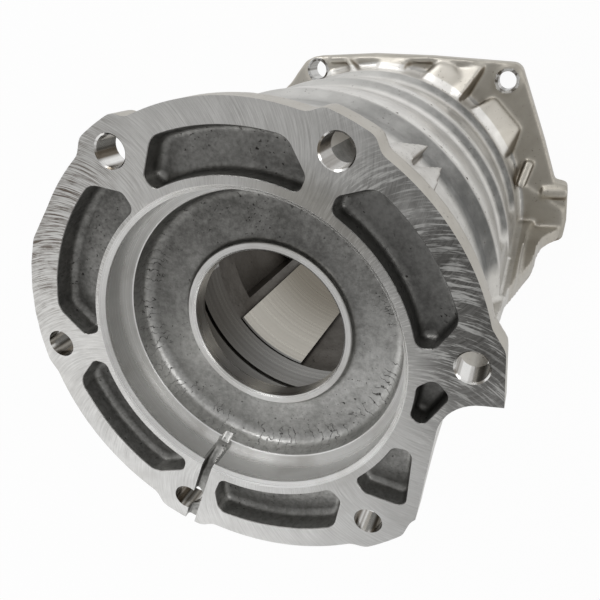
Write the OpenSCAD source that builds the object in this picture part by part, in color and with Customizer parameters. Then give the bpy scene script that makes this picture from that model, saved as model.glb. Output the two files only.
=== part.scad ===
// Transmission extension housing: one die-cast aluminium casting with machined faces.
// It stands on the machined face of its square rear flange (z = 0), round flange on top.
// The bore axis is the z axis. x points to the ear of the round flange.

/* [Overall] */
// distance between the two machined flange faces
housing_length = 180; // [170:1:200]

/* [Round flange] */
// outside diameter of the round flange
flange_d = 158.4; // [157:0.1:160]
// thickness of the rim of the round flange
flange_t = 10; // [8:0.5:12]
// diameter of the circle the six bolt holes lie on
bolt_circle_d = 145.7;
// bolt hole diameter
bolt_hole_d = 10; // [9:0.1:11]
// width of the chamfer at the mouth of the three upper bolt holes
hole_chamfer = 0.5; // [0.2:0.1:1]
// radius of the convex corners of the bumps of the rim round the bolt holes
bump_corner_r = 4.5;
// radius of the hollows that blend a bump into the rim
bump_blend_r = 6;
// offset of the cast rim from the bore axis, towards the ear
rim_shift_x = 0.3;
// offset of the cast rim from the bore axis, upwards
rim_shift_y = -0.6;
// angle of the bolt hole in the ear
hole_right = 1;
// angle of the upper right bolt hole, anticlockwise from the x axis like the next four
hole_upper_right = 60.1;
// angle of the upper left bolt hole
hole_upper_left = 118.9;
// angle of the left bolt hole
hole_left = 182.9;
// angle of the lower left bolt hole
hole_lower_left = 243.2;
// angle of the lower right bolt hole
hole_lower_right = 301.7;
// how far the bumps at the upper right and lower holes reach from the bore axis
bump_reach = 82;
// radius of the nut reliefs cut in the drum behind the bolt holes
relief_r = 9.6;
// length of the nut reliefs behind the rim
relief_l = 30; // [20:1:34]

/* [Ear of the round flange] */
// how far the straight edge of the ear lies from the axis
ear_x = 82.2;
// height of the lower corner of the ear
ear_y = -10.8;
// radius of the hollow under the ear
ear_hollow_r = 14;
// how far the clearance under the ear runs down the drum
ear_clearance_l = 34; // [20:1:38]

/* [Pockets in the flange face] */
// depth of the seven cast pockets
pocket_depth = 7.6; // [5:0.1:8]
// inner edge radius, from the axis
pocket_r_in = 56.8;
// outer edge radius, from the axis
pocket_r_out = 70.8;
// how far the pocket walls lean in at the bottom
pocket_lean = 0.4;
// radius of the rounding along the pocket floor
pocket_fillet = 2; // [1:0.1:2.2]

/* [Pilot recess and hub] */
// diameter of the edge of the pilot recess, outside its chamfer
pilot_mouth_d = 108;
// diameter of the machined pilot wall
pilot_d = 105;
// depth of the machined pilot wall
pilot_depth = 13;
// width of the narrow machined shelf at the bottom of the pilot wall
pilot_shelf = 2.5;
// depth of the cast floor of the recess
dish_depth = 21.2;
// radius of the rounding between step and floor
dish_fillet = 4;
// depth of the flat ring round the hub hole
hub_depth = 18.3;
// outer diameter of that ring
hub_ring_d = 61.6;
// diameter of the hub hole
hub_hole_d = 55.8;
// length of the hub hole
hub_hole_l = 7;

/* [Main bore] */
// diameter of the machined main bore behind the hub
bore_d = 97;
// depth at which the retaining ring groove starts
groove_depth = 55;
// width of the retaining ring groove
groove_w = 2.2;
// radial depth of the retaining ring groove
groove_cut = 2;
// depth at which the machined main bore ends
bore_end = 74.3;
// width of the relief groove behind the main bore
relief_groove_w = 3.2;
// diameter of the raised lands behind the main bore
land_d = 100;
// width of one raised land, as an angle
land_angle = 40;
// diameter of the cast inside wall between the lands
inner_wall_d = 104;
// diameter of the outer wall of the three long chambers
chamber_d = 132;
// depth at which the long chambers start
chamber_start = 94.5;
// width of one long chamber, as an angle
chamber_angle = 54;

/* [Drum] */
// radius of the drum over the rib crests
rib_r = 75;
// depth of the first rib crest below the round flange face
rib_first = 64;
// distance from one rib crest to the next
rib_pitch = 44.8;
// radius of the long hollow between round flange and first rib
hollow_r = 71;

/* [Rear flange] */
// thickness of the rear flange
rear_t = 10; // [8:0.5:12]
// how far the side lug reaches from the bore axis
lug_reach = 99; // [98:0.5:104]
// how far the left edge reaches from the bore axis
rear_left = 90; // [86:0.5:94]
// how far the upper edge reaches from the bore axis
rear_top = 82; // [81.5:0.5:86]
// how far the lower edge reaches from the bore axis
rear_bottom = 76; // [75:0.5:80]
// how far the parting webs reach from the bore axis where they meet the flange
web_reach = 96; // [94:0.5:97]
// bolt hole diameter in the rear flange
rear_hole_d = 8.8; // [8:0.1:10]
// diameter of the spigot bore at the rear face
rear_bore_d = 118;
// depth of the spigot bore at the rear face
rear_bore_l = 8;

/* [Drain slot] */
// angle of the slot that drains the pilot recess
slot_angle = 246;
// width of the slot
slot_w = 4;
// depth of the slot across the rim
slot_depth = 3;

/* [Smoothness] */
// number of flat strips used for a full circle
round_facets = 96; // [48:12:144]

/* [Hidden] */
$fn = round_facets;
top_z = housing_length;
flange_r = flange_d / 2;
bolt_r = bolt_circle_d / 2;
pilot_r = pilot_d / 2;
mouth_r = pilot_mouth_d / 2;
chamfered_holes = [hole_right, hole_upper_right, hole_upper_left];
plain_holes = [hole_left, hole_lower_left, hole_lower_right];
hole_angles = concat(chamfered_holes, plain_holes);
back_z = top_z - flange_t;
drum_foot = rear_t + 5;
// corners of one pocket: angle, distance from the axis, corner radius, anticlockwise
ri = pocket_r_in;
ro = pocket_r_out;
pocket_top = [[113.1, ri, 2.6], [64.8, ri, 2.6], [64.6, 62.4, 3], [71.6, ro, 3],
    [106.8, ro, 3], [114.4, 61.4, 3]];
pocket_right = [[54.4, ri, 2.6], [6.2, ri, 2.6], [5.8, 62.4, 3], [12.2, ro, 3],
    [48.8, ro, 3], [55.2, 61.9, 3]];
pocket_left = [[177.6, ri - 1.4, 2.6], [124.1, ri - 1.4, 2.6], [123.4, 61.5, 3], [130.2, ro - 0.4, 3],
    [171.6, ro - 0.4, 3], [179.4, 61.2, 3]];
pocket_low_left = [[237.6, ri - 0.5, 2.6], [190.4, ri - 0.5, 2.6], [188.8, 61, 3], [194.8, ro, 3],
    [231, ro, 3], [238.4, 61.4, 3]];
pocket_bottom = [[296.4, ri, 2.6], [252.5, ri, 2.6], [251.4, 64, 4], [253.6, ro + 1.1, 3],
    [290.6, ro + 1.1, 3], [297.6, 62.2, 3]];
pocket_low_right = [[328, ri, 2.6], [307.6, ri, 2.6], [306.8, 62.4, 3], [313.8, 74.4, 3],
    [330.6, 62.6, 3]];
pocket_small = [[352.8, ri, 2.6], [341.8, ri, 2.6], [340, 61.4, 2.6], [351.8, 67.2, 2.8],
    [356.6, 62, 3]];
// bumps of the rim: foot, corner, corner, foot as angles, then the reach
rim_bumps = [[52, 54.6, 65.8, 68.6, bump_reach], [111, 113, 123.6, 127.2, bump_reach - 0.4],
    [142, 154, 187.6, 191.5, bump_reach - 1.2], [234.6, 237.8, 249.4, 252.6, bump_reach + 1],
    [293, 296.4, 307.4, 311.6, bump_reach + 0.7]];
// middle of each raised land, as an angle
land_angles = [232, 352, 112];
// middle of each long chamber, as an angle
chamber_angles = [180, 60, -60];
// places of the two holes in the rear flange
rear_holes = [[67.2, 66], [-29, 75.4]];
pockets = [pocket_top, pocket_right, pocket_left, pocket_low_left, pocket_bottom, pocket_low_right,
    pocket_small];
// section of one rib: distance behind the crest, height below the crest
rib_section = [[-11, 3.4], [-8, 3.2], [-5.5, 2.5], [-3.4, 1.2], [-1.6, 0.3], [0, 0], [1.6, 0.25],
    [2.8, 0.9], [4, 1.05], [6, 0.8], [12, 0.7], [18, 1], [24, 1.8], [29, 2.7]];

function polar(a, r) = [r * cos(a), r * sin(a)];
function unit(v) = v / norm(v);
// adds points along the arcs between two corners that lie at the same distance from the axis
function on_arcs(c) = [for (i = [0 : len(c) - 1])
    let (p = c[i], q = c[(i + 1) % len(c)], m = p[1] == q[1] ? max(1, round(abs(q[0] - p[0]) / 6)) : 1)
    for (k = [0 : m - 1]) [p[0] + (q[0] - p[0]) * k / m, p[1], k == 0 ? p[2] : 0]];
// moves every side of an outline in by d
function moved_in(p, d) = [for (i = [0 : len(p) - 1])
    let (n = len(p), a = unit(p[i] - p[(i + n - 1) % n]), b = unit(p[(i + 1) % n] - p[i]),
        u = [-a[1], a[0]], v = [-b[1], b[0]])
    p[i] + (u + v) * d / (1 + u * v)];
// rounds every corner of an outline by its own radius, with strips of at most step degrees
function rounded(p, rad, step = 15) = [for (i = [0 : len(p) - 1])
    let (n = len(p), a = unit(p[(i + n - 1) % n] - p[i]), b = unit(p[(i + 1) % n] - p[i]))
    each (rad[i] <= 0 ? [p[i]] :
        let (half = acos(a * b) / 2, t = rad[i] / tan(half), c = p[i] + unit(a + b) * rad[i] / sin(half),
            f = p[i] + a * t - c, g = p[i] + b * t - c, a0 = atan2(f[1], f[0]),
            turn = atan2(f[0] * g[1] - f[1] * g[0], f * g), seg = max(1, ceil(abs(turn) / step - 0.01)))
        [for (k = [0 : seg]) c + polar(a0 + turn * k / seg, rad[i])])];
function corners(c) = [for (v = c) [v[0], v[1]]];
function radii(c) = [for (v = c) len(v) > 2 ? v[2] : 0];

// flat outline from corners given as x, y, corner radius
module outline(c, step = 15) {
    polygon(rounded(corners(c), radii(c), step));
}

// the same from corners given as angle, distance from the axis, corner radius
module polar_outline(c, step = 15) {
    polygon(rounded([for (v = c) polar(v[0], v[1])], radii(c), step));
}

// cutter for one cast pocket: leaning walls and a rounded floor edge
module pocket(c) {
    full = on_arcs(c);
    flat = [for (v = full) polar(v[0], v[1])];
    rad = radii(full);
    steps = 3;
    slope = pocket_lean / (pocket_depth - pocket_fillet);
    low = [for (k = [0 : steps])
        let (t = 90 * k / steps)
        [pocket_fillet * (1 - cos(t)) - pocket_depth, pocket_lean + pocket_fillet * (1 - sin(t))]];
    layers = concat(low, [[1, -slope]]);
    loops = [for (l = layers)
        let (q = rounded(moved_in(flat, l[1]), [for (r = rad) r <= 0 ? 0 : max(0.6, r - l[1])], 24))
        [for (v = q) [v[0], v[1], l[0]]]];
    n = len(loops[0]);
    sides = [for (k = [0 : len(loops) - 2])
        for (i = [0 : n - 1])
        [k * n + i, (k + 1) * n + i, (k + 1) * n + (i + 1) % n, k * n + (i + 1) % n]];
    floor_face = [for (i = [0 : n - 1]) i];
    top_face = [for (i = [n - 1 : -1 : 0]) (len(loops) - 1) * n + i];
    polyhedron([for (l = loops) each l], concat([floor_face, top_face], sides));
}

// bump of the rim: feet at angles a and d, its outer face at radius r from angle b to angle c
module bump(a, b, c, d, r) {
    mid = (b + c) / 2;
    foot = function(t) flange_r + rim_shift_x * cos(t) + rim_shift_y * sin(t) - 0.05;
    face = [for (k = [1 : 3]) [b + (c - b) * k / 4, r, 0]];
    polar_outline(concat([[a - 6, foot(a - 6), 0], [a, foot(a), bump_blend_r], [b, r, bump_corner_r]], face,
        [[c, r, bump_corner_r], [d, foot(d), bump_blend_r], [d + 6, foot(d + 6), 0], [d, 68, 0],
        [a, 68, 0]]));
}

// space kept free under the ear, cut straight through the round flange
module ear_cut_outline() {
    outline([[110, ear_y], [64.4, ear_y - 0.4, ear_hollow_r], [54.4, -60.2], [110, -95]], 9);
}

// outline of the round flange, without its holes
module flange_outline() {
    difference() {
        union() {
            translate([rim_shift_x, rim_shift_y]) circle(flange_r, $fn = 180);
            for (v = rim_bumps) bump(v[0], v[1], v[2], v[3], v[4]);
            outline([[60, ear_y - 8], [ear_x, ear_y - 8], [ear_x, 7, 5], [77.4, 15.4, 10], [60, 40]]);
        }
        ear_cut_outline();
    }
}

// drum with its three rings of ribs
module drum() {
    ribs = [for (k = [0 : 2]) for (v = rib_section)
        let (z = top_z - rib_first - k * rib_pitch - v[0])
        if (z > drum_foot + 1) [rib_r - v[1], z]];
    rotate_extrude($fn = 180)
        polygon(concat([[20, back_z + 4], [62, back_z + 4], [62, back_z + 0.5],
            [hollow_r + 5.5, back_z + 0.5], [hollow_r + 3, back_z - 1], [hollow_r + 1.3, back_z - 3],
            [hollow_r + 0.4, back_z - 6], [hollow_r, back_z - 10], [hollow_r, back_z - 30]],
            ribs, [[71.8, drum_foot], [72.3, drum_foot - 2.2], [73.9, rear_t + 0.9], [76.8, rear_t - 0.4],
            [76.8, 4], [20, 4]]));
}

// squarish rear flange with its side lug
module rear_flange() {
    linear_extrude(rear_t)
        outline([[-45.6, 69.6, 4], [-36, rear_top - 2, 4], [-30.5, rear_top, 4], [0, rear_top - 0.4],
            [30, rear_top - 3], [73.4, rear_top - 8.4, 6], [86.2, 36.4], [92.2, 16.6, 2],
            [lug_reach - 0.4, 15, 3], [lug_reach, -3], [lug_reach - 1.4, -13.2, 3], [89.4, -16, 4],
            [84.8, -22.4, 5], [83, -34, 8], [58, 5 - rear_bottom, 9], [-58, -rear_bottom, 9],
            [4 - rear_left, -34, 9], [-rear_left, 12, 9], [-78, 44, 9]]);
    // lip along the upper edge
    translate([0, 0, rear_t - 1])
        linear_extrude(3)
        outline([[-22, rear_top - 3.4], [30, rear_top - 5.8], [52, rear_top - 8.4], [52, rear_top - 5.9],
            [30, rear_top - 3.2], [-22, rear_top - 0.5]]);
    // flat web of the side lug
    translate([0, 0, rear_t - 4])
        linear_extrude(5.4)
        outline([[70, 19], [74.4, 17.4], [lug_reach - 4.4, 4.4, 2], [lug_reach - 2, 2, 2],
            [lug_reach - 1.2, -9, 1.5], [80, -8, 3], [70, -12]]);
    translate([86, 11.6, rear_t - 0.6])
        rotate([0, 90, 0])
        cylinder(h = lug_reach - 86.4, r = 3.6);
}

// raised corner round a rear bolt hole
module rear_boss(p) {
    translate([p[0], p[1], 2])
        cylinder(h = rear_t - 0.8, r = 6.4);
}

// thin upright rib standing on the rear flange, from p to q, falling from height a to height b
module rear_rib(p, q, a, b, w) {
    d = norm(q - p);
    translate([p[0], p[1], rear_t - 1])
        rotate([0, 0, atan2(q[1] - p[1], q[0] - p[0])])
        rotate([90, 0, 0])
        translate([0, 0, -w / 2])
        linear_extrude(w)
        polygon([[0, 0], [d, 0], [d, b], [0, a]]);
}

// pointed rib behind the round flange, from angle a to angle b, its tip at angle t and depth l
module pointed_rib(a, b, t, l) {
    c = (a + b) / 2;
    foot = [[a, 66], [a, flange_r - 3], [c, flange_r - 1], [b, flange_r - 3], [b, 66]];
    p = concat([for (v = foot) concat(polar(v[0], v[1]), back_z + 1)],
        [concat(polar(t, 74.4), back_z - l), concat(polar(t, 66), back_z - l - 6)]);
    polyhedron(p, [[0, 1, 2, 3, 4], [1, 0, 6], [1, 6, 5], [2, 1, 5], [3, 2, 5], [4, 3, 5], [4, 5, 6],
        [0, 4, 6]]);
}

// web along the parting line: a thin upper ledge and a wider lower one
module parting_web() {
    translate([0, -6, 0])
        rotate([90, 0, 0])
        linear_extrude(6)
        polygon([[60, 8], [web_reach, 8], [web_reach - 1, 16], [91, 23], [88, 31], [86.4, 40],
            [85.7, 50], [85.4, 60], [84.3, 68.4], [81.7, 81], [79.4, 92.5], [77.1, 102],
            [75.7, 108.5], [75.1, 114], [75, 171], [60, 171]]);
    translate([0, -3, 0])
        rotate([90, 0, 0])
        linear_extrude(4)
        polygon([[60, 8], [84, 8], [81.4, 20], [80.6, 34], [80, 60], [80, 85.5], [79.4, 98.6], [77.8, 107],
            [77.2, 116], [76.6, 124.3], [76, 150], [76.6, 171], [60, 171]]);
}

// space inside: recess, hub hole, main bore with its grooves, inner wall
module inside() {
    z0 = top_z;
    f = dish_fillet;
    step_r = pilot_r - pilot_shelf;
    round_off = [for (k = [0 : 5])
        [step_r - 0.8 - f + f * cos(18 * k), z0 - dish_depth + f - f * sin(18 * k)]];
    rotate_extrude($fn = 180)
        polygon(concat([[0, z0 + 1], [mouth_r + 1, z0 + 1], [mouth_r, z0],
            [pilot_r, z0 - (mouth_r - pilot_r)], [pilot_r, z0 - pilot_depth],
            [step_r, z0 - pilot_depth], [step_r - 0.3, z0 - pilot_depth - 1]],
            round_off,
            [[hub_ring_d / 2 + 2.4, z0 - dish_depth], [hub_ring_d / 2 + 1, z0 - dish_depth + 0.8],
            [hub_ring_d / 2, z0 - hub_depth - 0.4], [hub_ring_d / 2 - 0.3, z0 - hub_depth],
            [hub_hole_d / 2 + 0.7, z0 - hub_depth], [hub_hole_d / 2, z0 - hub_depth - 0.7],
            [hub_hole_d / 2, z0 - hub_depth - hub_hole_l], [0, z0 - hub_depth - hub_hole_l]]));
    // main bore from behind the hub to the relief groove
    rotate_extrude($fn = 180)
        polygon([[0, z0 - hub_depth - hub_hole_l + 1], [hub_hole_d / 2, z0 - hub_depth - hub_hole_l + 1],
            [hub_hole_d / 2, z0 - hub_depth - hub_hole_l],
            [bore_d / 2 - 6, z0 - dish_depth - 8], [bore_d / 2, z0 - dish_depth - 14],
            [bore_d / 2, z0 - groove_depth], [bore_d / 2 + groove_cut, z0 - groove_depth],
            [bore_d / 2 + groove_cut, z0 - groove_depth - groove_w],
            [bore_d / 2, z0 - groove_depth - groove_w],
            [bore_d / 2, z0 - bore_end], [inner_wall_d / 2 + 0.6, z0 - bore_end],
            [inner_wall_d / 2 + 0.6, z0 - bore_end - relief_groove_w],
            [inner_wall_d / 2, z0 - bore_end - relief_groove_w], [inner_wall_d / 2, rear_bore_l + 6],
            [inner_wall_d / 2 + 3, rear_bore_l], [rear_bore_d / 2, rear_bore_l],
            [rear_bore_d / 2, -1], [0, -1]]);
}

// raised land inside, centred on angle a
module land(a) {
    rotate([0, 0, a - land_angle / 2])
        rotate_extrude(angle = land_angle, $fn = 180)
        polygon([[land_d / 2, rear_bore_l + 12], [land_d / 2, top_z - bore_end - relief_groove_w],
            [inner_wall_d / 2 + 1.5, top_z - bore_end - relief_groove_w],
            [inner_wall_d / 2 + 1.5, rear_bore_l + 12]]);
}

// long chamber in the wall, centred on angle a, open to the rear
module chamber(a) {
    rotate([0, 0, a - chamber_angle / 2])
        rotate_extrude(angle = chamber_angle, $fn = 180)
        polygon([[inner_wall_d / 2 - 3, rear_bore_l - 1], [inner_wall_d / 2 - 3, top_z - chamber_start],
            [chamber_d / 2 - 5, top_z - chamber_start], [chamber_d / 2 - 1.5, top_z - chamber_start - 1.5],
            [chamber_d / 2, top_z - chamber_start - 5], [chamber_d / 2, rear_bore_l + 2],
            [rear_bore_d / 2 - 1, rear_bore_l - 1]]);
}

// slot from the recess across the rim
module drain_slot() {
    rotate([0, 0, slot_angle])
        translate([0, slot_w / 2, top_z])
        rotate([90, 0, 0])
        linear_extrude(slot_w)
        polygon([[pilot_r - 4, 1], [flange_r + 9, 1], [flange_r + 9, -slot_depth],
            [pilot_r + 5, -slot_depth - 0.4], [pilot_r - 0.6, -pilot_depth - 0.5],
            [pilot_r - 4, -pilot_depth - 0.5]]);
}

module housing() {
    color([0.72, 0.72, 0.71])
    union() {
        difference() {
            union() {
                drum();
                translate([0, 0, back_z]) linear_extrude(flange_t) flange_outline();
                rear_flange();
                for (p = rear_holes) rear_boss(p);
                parting_web();
                rotate([0, 0, 180]) parting_web();
                pointed_rib(54, 44.5, 47.2, 46);
                pointed_rib(46, 35.5, 41, 42);
                // ribs between drum and rear flange
                rear_rib([44, 57.5], [55.6, 74], 16, 3, 3);
                rear_rib([-6, 74], [-13.5, 80.4], 12, 3, 2.6);
                rear_rib([-6, 70], [-24, 73.8], 10, 2, 2.6);
                rear_rib([70, 17], [82, 27.6], 12, 3, 3.4);
                rear_rib([20, 70], [21.4, 78], 9, 3, 4);
                // raised shoulder beside the upper right corner
                translate([0, 0, 4])
                    linear_extrude(rear_t)
                    outline([[50, 48], [57.4, 52.4], [63.4, 58.4, 2], [75.6, 43.6, 2], [71, 34.4, 3],
                        [60, 32]]);
            }
            translate([0, 0, top_z - ear_clearance_l])
                linear_extrude(ear_clearance_l + 1)
                ear_cut_outline();
            inside();
            for (a = chamber_angles) chamber(a);
            for (c = pockets) translate([0, 0, top_z]) pocket(c);
            for (a = hole_angles)
                translate([bolt_r * cos(a), bolt_r * sin(a), back_z - 1])
                cylinder(h = flange_t + 2, d = bolt_hole_d, $fn = 64);
            for (a = chamfered_holes)
                translate([bolt_r * cos(a), bolt_r * sin(a), top_z - hole_chamfer])
                cylinder(h = hole_chamfer + 1, d1 = bolt_hole_d, d2 = bolt_hole_d + 2 * hole_chamfer + 2,
                    $fn = 64);
            for (a = hole_angles)
                translate([bolt_r * cos(a), bolt_r * sin(a), back_z - relief_l])
                cylinder(h = relief_l, r = relief_r, $fn = 64);
            drain_slot();
            for (p = rear_holes) {
                translate([p[0], p[1], -1])
                    cylinder(h = rear_t + 5, d = rear_hole_d, $fn = 64);
                translate([p[0], p[1], rear_t + 0.8])
                    cylinder(h = 4, d = rear_hole_d + 2.6, $fn = 64);
            }
        }
        for (a = land_angles) land(a);
    }
}

housing();
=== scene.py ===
from itertools import combinations

import bmesh
import bpy
import numpy as np
from mathutils import Matrix, Vector, bvhtree


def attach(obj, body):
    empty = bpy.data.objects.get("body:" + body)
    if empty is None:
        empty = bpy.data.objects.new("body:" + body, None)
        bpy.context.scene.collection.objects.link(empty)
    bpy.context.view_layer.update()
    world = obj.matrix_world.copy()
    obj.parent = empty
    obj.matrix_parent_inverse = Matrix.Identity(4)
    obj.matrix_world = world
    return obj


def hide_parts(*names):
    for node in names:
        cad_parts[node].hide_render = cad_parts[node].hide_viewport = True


# The dressed model of a transmission extension housing, one aluminium casting.
# It is made as the real one is: a cast body with soft edges, then the machining cut into it.
# Sizes and solids are in millimetres; meshes, materials, lamps and the camera are in metres.

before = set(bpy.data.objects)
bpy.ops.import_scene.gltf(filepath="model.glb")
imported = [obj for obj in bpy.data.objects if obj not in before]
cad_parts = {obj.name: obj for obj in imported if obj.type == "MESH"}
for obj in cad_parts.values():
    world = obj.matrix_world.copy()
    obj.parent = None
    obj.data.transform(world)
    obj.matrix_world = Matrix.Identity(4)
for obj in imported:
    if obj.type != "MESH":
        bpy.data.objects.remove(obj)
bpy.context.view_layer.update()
MM = 0.001
TAU = 2 * np.pi
GOLDEN_ANGLE = 2.399963

# Driving sizes, the same as the part's own
HEIGHT = 180.0
FLANGE_R = 79.2
FLANGE_T = 10.0
BACK_Z = HEIGHT - FLANGE_T
BOLT_R = 72.85
BOLT_ANGLES = (1.0, 60.1, 118.9, 182.9, 243.2, 301.7)
CHAMFERED_ANGLES = (1.0, 60.1, 118.9)
HOLE_R = 5.0
HEAD_R = 9.6
HEAD_L = 30.0
REAR_T = 10.0
REAR_HOLES = ((67.2, 66.0), (-29.0, 75.4))
REAR_HOLE_R = 4.4
RIB_R = 75.0
RIB_FIRST = 64.0
RIB_PITCH = 44.8
COVE_R = 71.0
SLOT_ANGLE = 246.0
SLOT_HALF = 1.9
# place of the middle of the round flange's rim, a little off the axis
RIM_X, RIM_Y = 0.3, -0.6
# how deep its bumps and the fins behind it reach into the body
BUMP_ROOT_R, FIN_ROOT_R = 68, 66
# metal left on both end faces for the machining to take off
STOCK = 2.5
# distance of the rows of casting pits behind the crests
PIT_ROW = 4.2
# grain of the skin, share of its faces kept, steps of a full turn, angle of an edge drawn sharp
VOXEL = 0.75
THIN_RATIO = 0.2
TURN_STEPS = 240
SHARP_ANGLE = np.radians(32)
# angle of the middle of the webs below the x axis, degrees
WEB_TURN = 6.5


# Plain geometry in the plane

def polar(angle, radius):
    """Point at an angle in degrees and a distance from the axis."""
    a = np.radians(angle)
    return np.array([radius * np.cos(a), radius * np.sin(a)])


def rounded(corners, step=8.0, fixed=0):
    """Outline with each corner (x, y, radius) replaced by the arc that touches both its sides.
    An arc has a point every few degrees, or a fixed number of parts where loops must match."""
    pts = np.array([c[:2] for c in corners], float)
    out = []
    n = len(pts)
    for i, corner in enumerate(corners):
        radius = corner[2] if len(corner) > 2 else 0.0
        if radius <= 0:
            out.append(pts[i])
            continue
        a = pts[i - 1] - pts[i]
        b = pts[(i + 1) % n] - pts[i]
        a /= np.linalg.norm(a)
        b /= np.linalg.norm(b)
        half = np.arccos(np.clip(a @ b, -1, 1)) / 2
        reach = radius / np.tan(half)
        middle = pts[i] + (a + b) / np.linalg.norm(a + b) * radius / np.sin(half)
        f = pts[i] + a * reach - middle
        g = pts[i] + b * reach - middle
        start = np.arctan2(f[1], f[0])
        turn = np.arctan2(f[0] * g[1] - f[1] * g[0], f @ g)
        count = fixed or max(1, int(np.ceil(abs(np.degrees(turn)) / step - 0.01)))
        t = start + turn * np.linspace(0, 1, count + 1)
        out.extend(middle + radius * np.c_[np.cos(t), np.sin(t)])
    return np.array(out)


def along_arcs(corners, step=2.5):
    """Polar corners (angle, distance, radius) with points added where two neighbours lie at one distance."""
    out = []
    n = len(corners)
    for i, (angle, distance, radius) in enumerate(corners):
        following = corners[(i + 1) % n]
        count = 1
        if abs(following[1] - distance) < 1e-6:
            count = max(1, int(round(abs(following[0] - angle) / step)))
        for k in range(count):
            a = angle + (following[0] - angle) * k / count
            out.append((*polar(a, distance), radius if k == 0 else 0.0))
    return out


def moved_in(corners, distance):
    """Every side of a closed outline moved in by a distance, its corner radii made smaller by as much."""
    pts = np.array([c[:2] for c in corners], float)
    radii = np.array([c[2] for c in corners], float)
    a = pts - np.roll(pts, 1, 0)
    b = np.roll(pts, -1, 0) - pts
    a /= np.linalg.norm(a, axis=1)[:, None]
    b /= np.linalg.norm(b, axis=1)[:, None]
    u = np.c_[-a[:, 1], a[:, 0]]
    v = np.c_[-b[:, 1], b[:, 0]]
    moved = pts + (u + v) * distance / (1 + (u * v).sum(1))[:, None]
    new_radii = np.where(radii > 0, np.maximum(0.5, radii - distance), 0)
    return [(x, y, r) for (x, y), r in zip(moved, new_radii)]


# Closed solids, in millimetres until they become an object

def solid(vertices, faces):
    """A closed solid: an array of points and a list of faces that point outwards."""
    return np.asarray(vertices, float), [list(f) for f in faces]


def stack(loops, heights):
    """Loops of one length joined by quads, with a flat lid at each end: a lofted solid."""
    n = len(loops[0])
    vertices = np.vstack([np.c_[loop, np.full(n, z)] for loop, z in zip(loops, heights)])
    i = np.arange(n)
    j = (i + 1) % n
    sides = []
    for k in range(len(loops) - 1):
        sides.extend(np.c_[k * n + i, k * n + j, (k + 1) * n + j, (k + 1) * n + i].tolist())
    top = (len(loops) - 1) * n
    return solid(vertices, sides + [i[::-1].tolist(), (top + i).tolist()])


def prism(outline, low, high):
    """Flat outline, anticlockwise, carried straight up from one height to another."""
    return stack([outline, outline], [low, high])


def turned(profile, first=0.0, last=360.0):
    """Profile of (radius, height) points carried round the z axis.
    The profile runs so that the solid lies on its left when radius points right and height points up."""
    p = np.asarray(profile, float)
    full = last - first > 359.9
    steps = TURN_STEPS if full else int(round(TURN_STEPS * (last - first) / 360.0)) + 1
    t = np.radians(np.linspace(first, last, steps, endpoint=not full))
    m = len(p)
    x = p[None, :, 0] * np.cos(t)[:, None]
    y = p[None, :, 0] * np.sin(t)[:, None]
    z = np.broadcast_to(p[None, :, 1], x.shape)
    vertices = np.stack([x, y, z], -1).reshape(-1, 3)
    i = np.arange(steps if full else steps - 1)
    j = (i + 1) % steps
    faces = []
    for k in range(m):
        q = (k + 1) % m
        faces.extend(np.c_[i * m + k, j * m + k, j * m + q, i * m + q].tolist())
    if not full:
        faces.append(list(range(m)))
        faces.append([(steps - 1) * m + k for k in reversed(range(m))])
    return solid(vertices, faces)


def cylinder(x, y, radius, low, high, top_radius=None):
    """Round bar or, with a top radius, cone: the circle (cos t, sin t) at two heights."""
    t = np.linspace(0, TAU, 64, endpoint=False)
    ring = np.c_[np.cos(t), np.sin(t)]
    upper = radius if top_radius is None else top_radius
    middle = np.array([x, y])
    return stack([middle + radius * ring, middle + upper * ring], [low, high])


def placed(part, matrix):
    """A solid moved by a 3 by 4 matrix that keeps it right way round."""
    vertices, faces = part
    return vertices @ matrix[:, :3].T + matrix[:, 3], faces


def upright(part, start, end):
    """A solid drawn in x and y with its thickness along z, stood up so that x runs from start to end."""
    d = np.array([end[0] - start[0], end[1] - start[1]], float)
    d /= np.linalg.norm(d)
    matrix = np.array([[d[0], 0, d[1], start[0]], [d[1], 0, -d[0], start[1]], [0, 1, 0, 0]], float)
    return placed(part, matrix)


def make_object(name, parts):
    """One mesh object from any number of solids, in metres."""
    vertices = []
    faces = []
    base = 0
    for v, f in parts:
        vertices.append(v * MM)
        faces.extend([[k + base for k in face] for face in f])
        base += len(v)
    mesh = bpy.data.meshes.new(name)
    mesh.from_pydata(np.vstack(vertices).tolist(), [], faces)
    mesh.update()
    obj = bpy.data.objects.new(name, mesh)
    bpy.context.scene.collection.objects.link(obj)
    return obj


def applied(obj):
    """Work the object's modifiers into its mesh."""
    depsgraph = bpy.context.evaluated_depsgraph_get()
    depsgraph.update()
    mesh = bpy.data.meshes.new_from_object(obj.evaluated_get(depsgraph), depsgraph=depsgraph)
    old = obj.data
    obj.modifiers.clear()
    obj.data = mesh
    mesh.name = obj.name
    bpy.data.meshes.remove(old)


def positions(mesh):
    """Places of all vertices, in metres."""
    place = np.empty(len(mesh.vertices) * 3)
    mesh.vertices.foreach_get("co", place)
    return place.reshape(-1, 3)


def soften(obj, times, where=None, name="soften"):
    """Smoothing of the whole skin, or of the vertices where a test holds."""
    modifier = obj.modifiers.new(name, "SMOOTH")
    modifier.factor = 0.5
    modifier.iterations = times
    if where is not None:
        group = obj.vertex_groups.new(name=name)
        group.add(np.flatnonzero(where).tolist(), 1.0, "REPLACE")
        modifier.vertex_group = name


def combine(obj, parts, operation="DIFFERENCE"):
    """Boolean of the object with one cutter made of solids that don't overlap."""
    cutter = make_object("cutter", parts)
    modifier = obj.modifiers.new("cut", "BOOLEAN")
    modifier.operation = operation
    modifier.solver = "MANIFOLD"
    modifier.object = cutter
    applied(obj)
    bpy.data.objects.remove(cutter)


# The cast body

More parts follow.
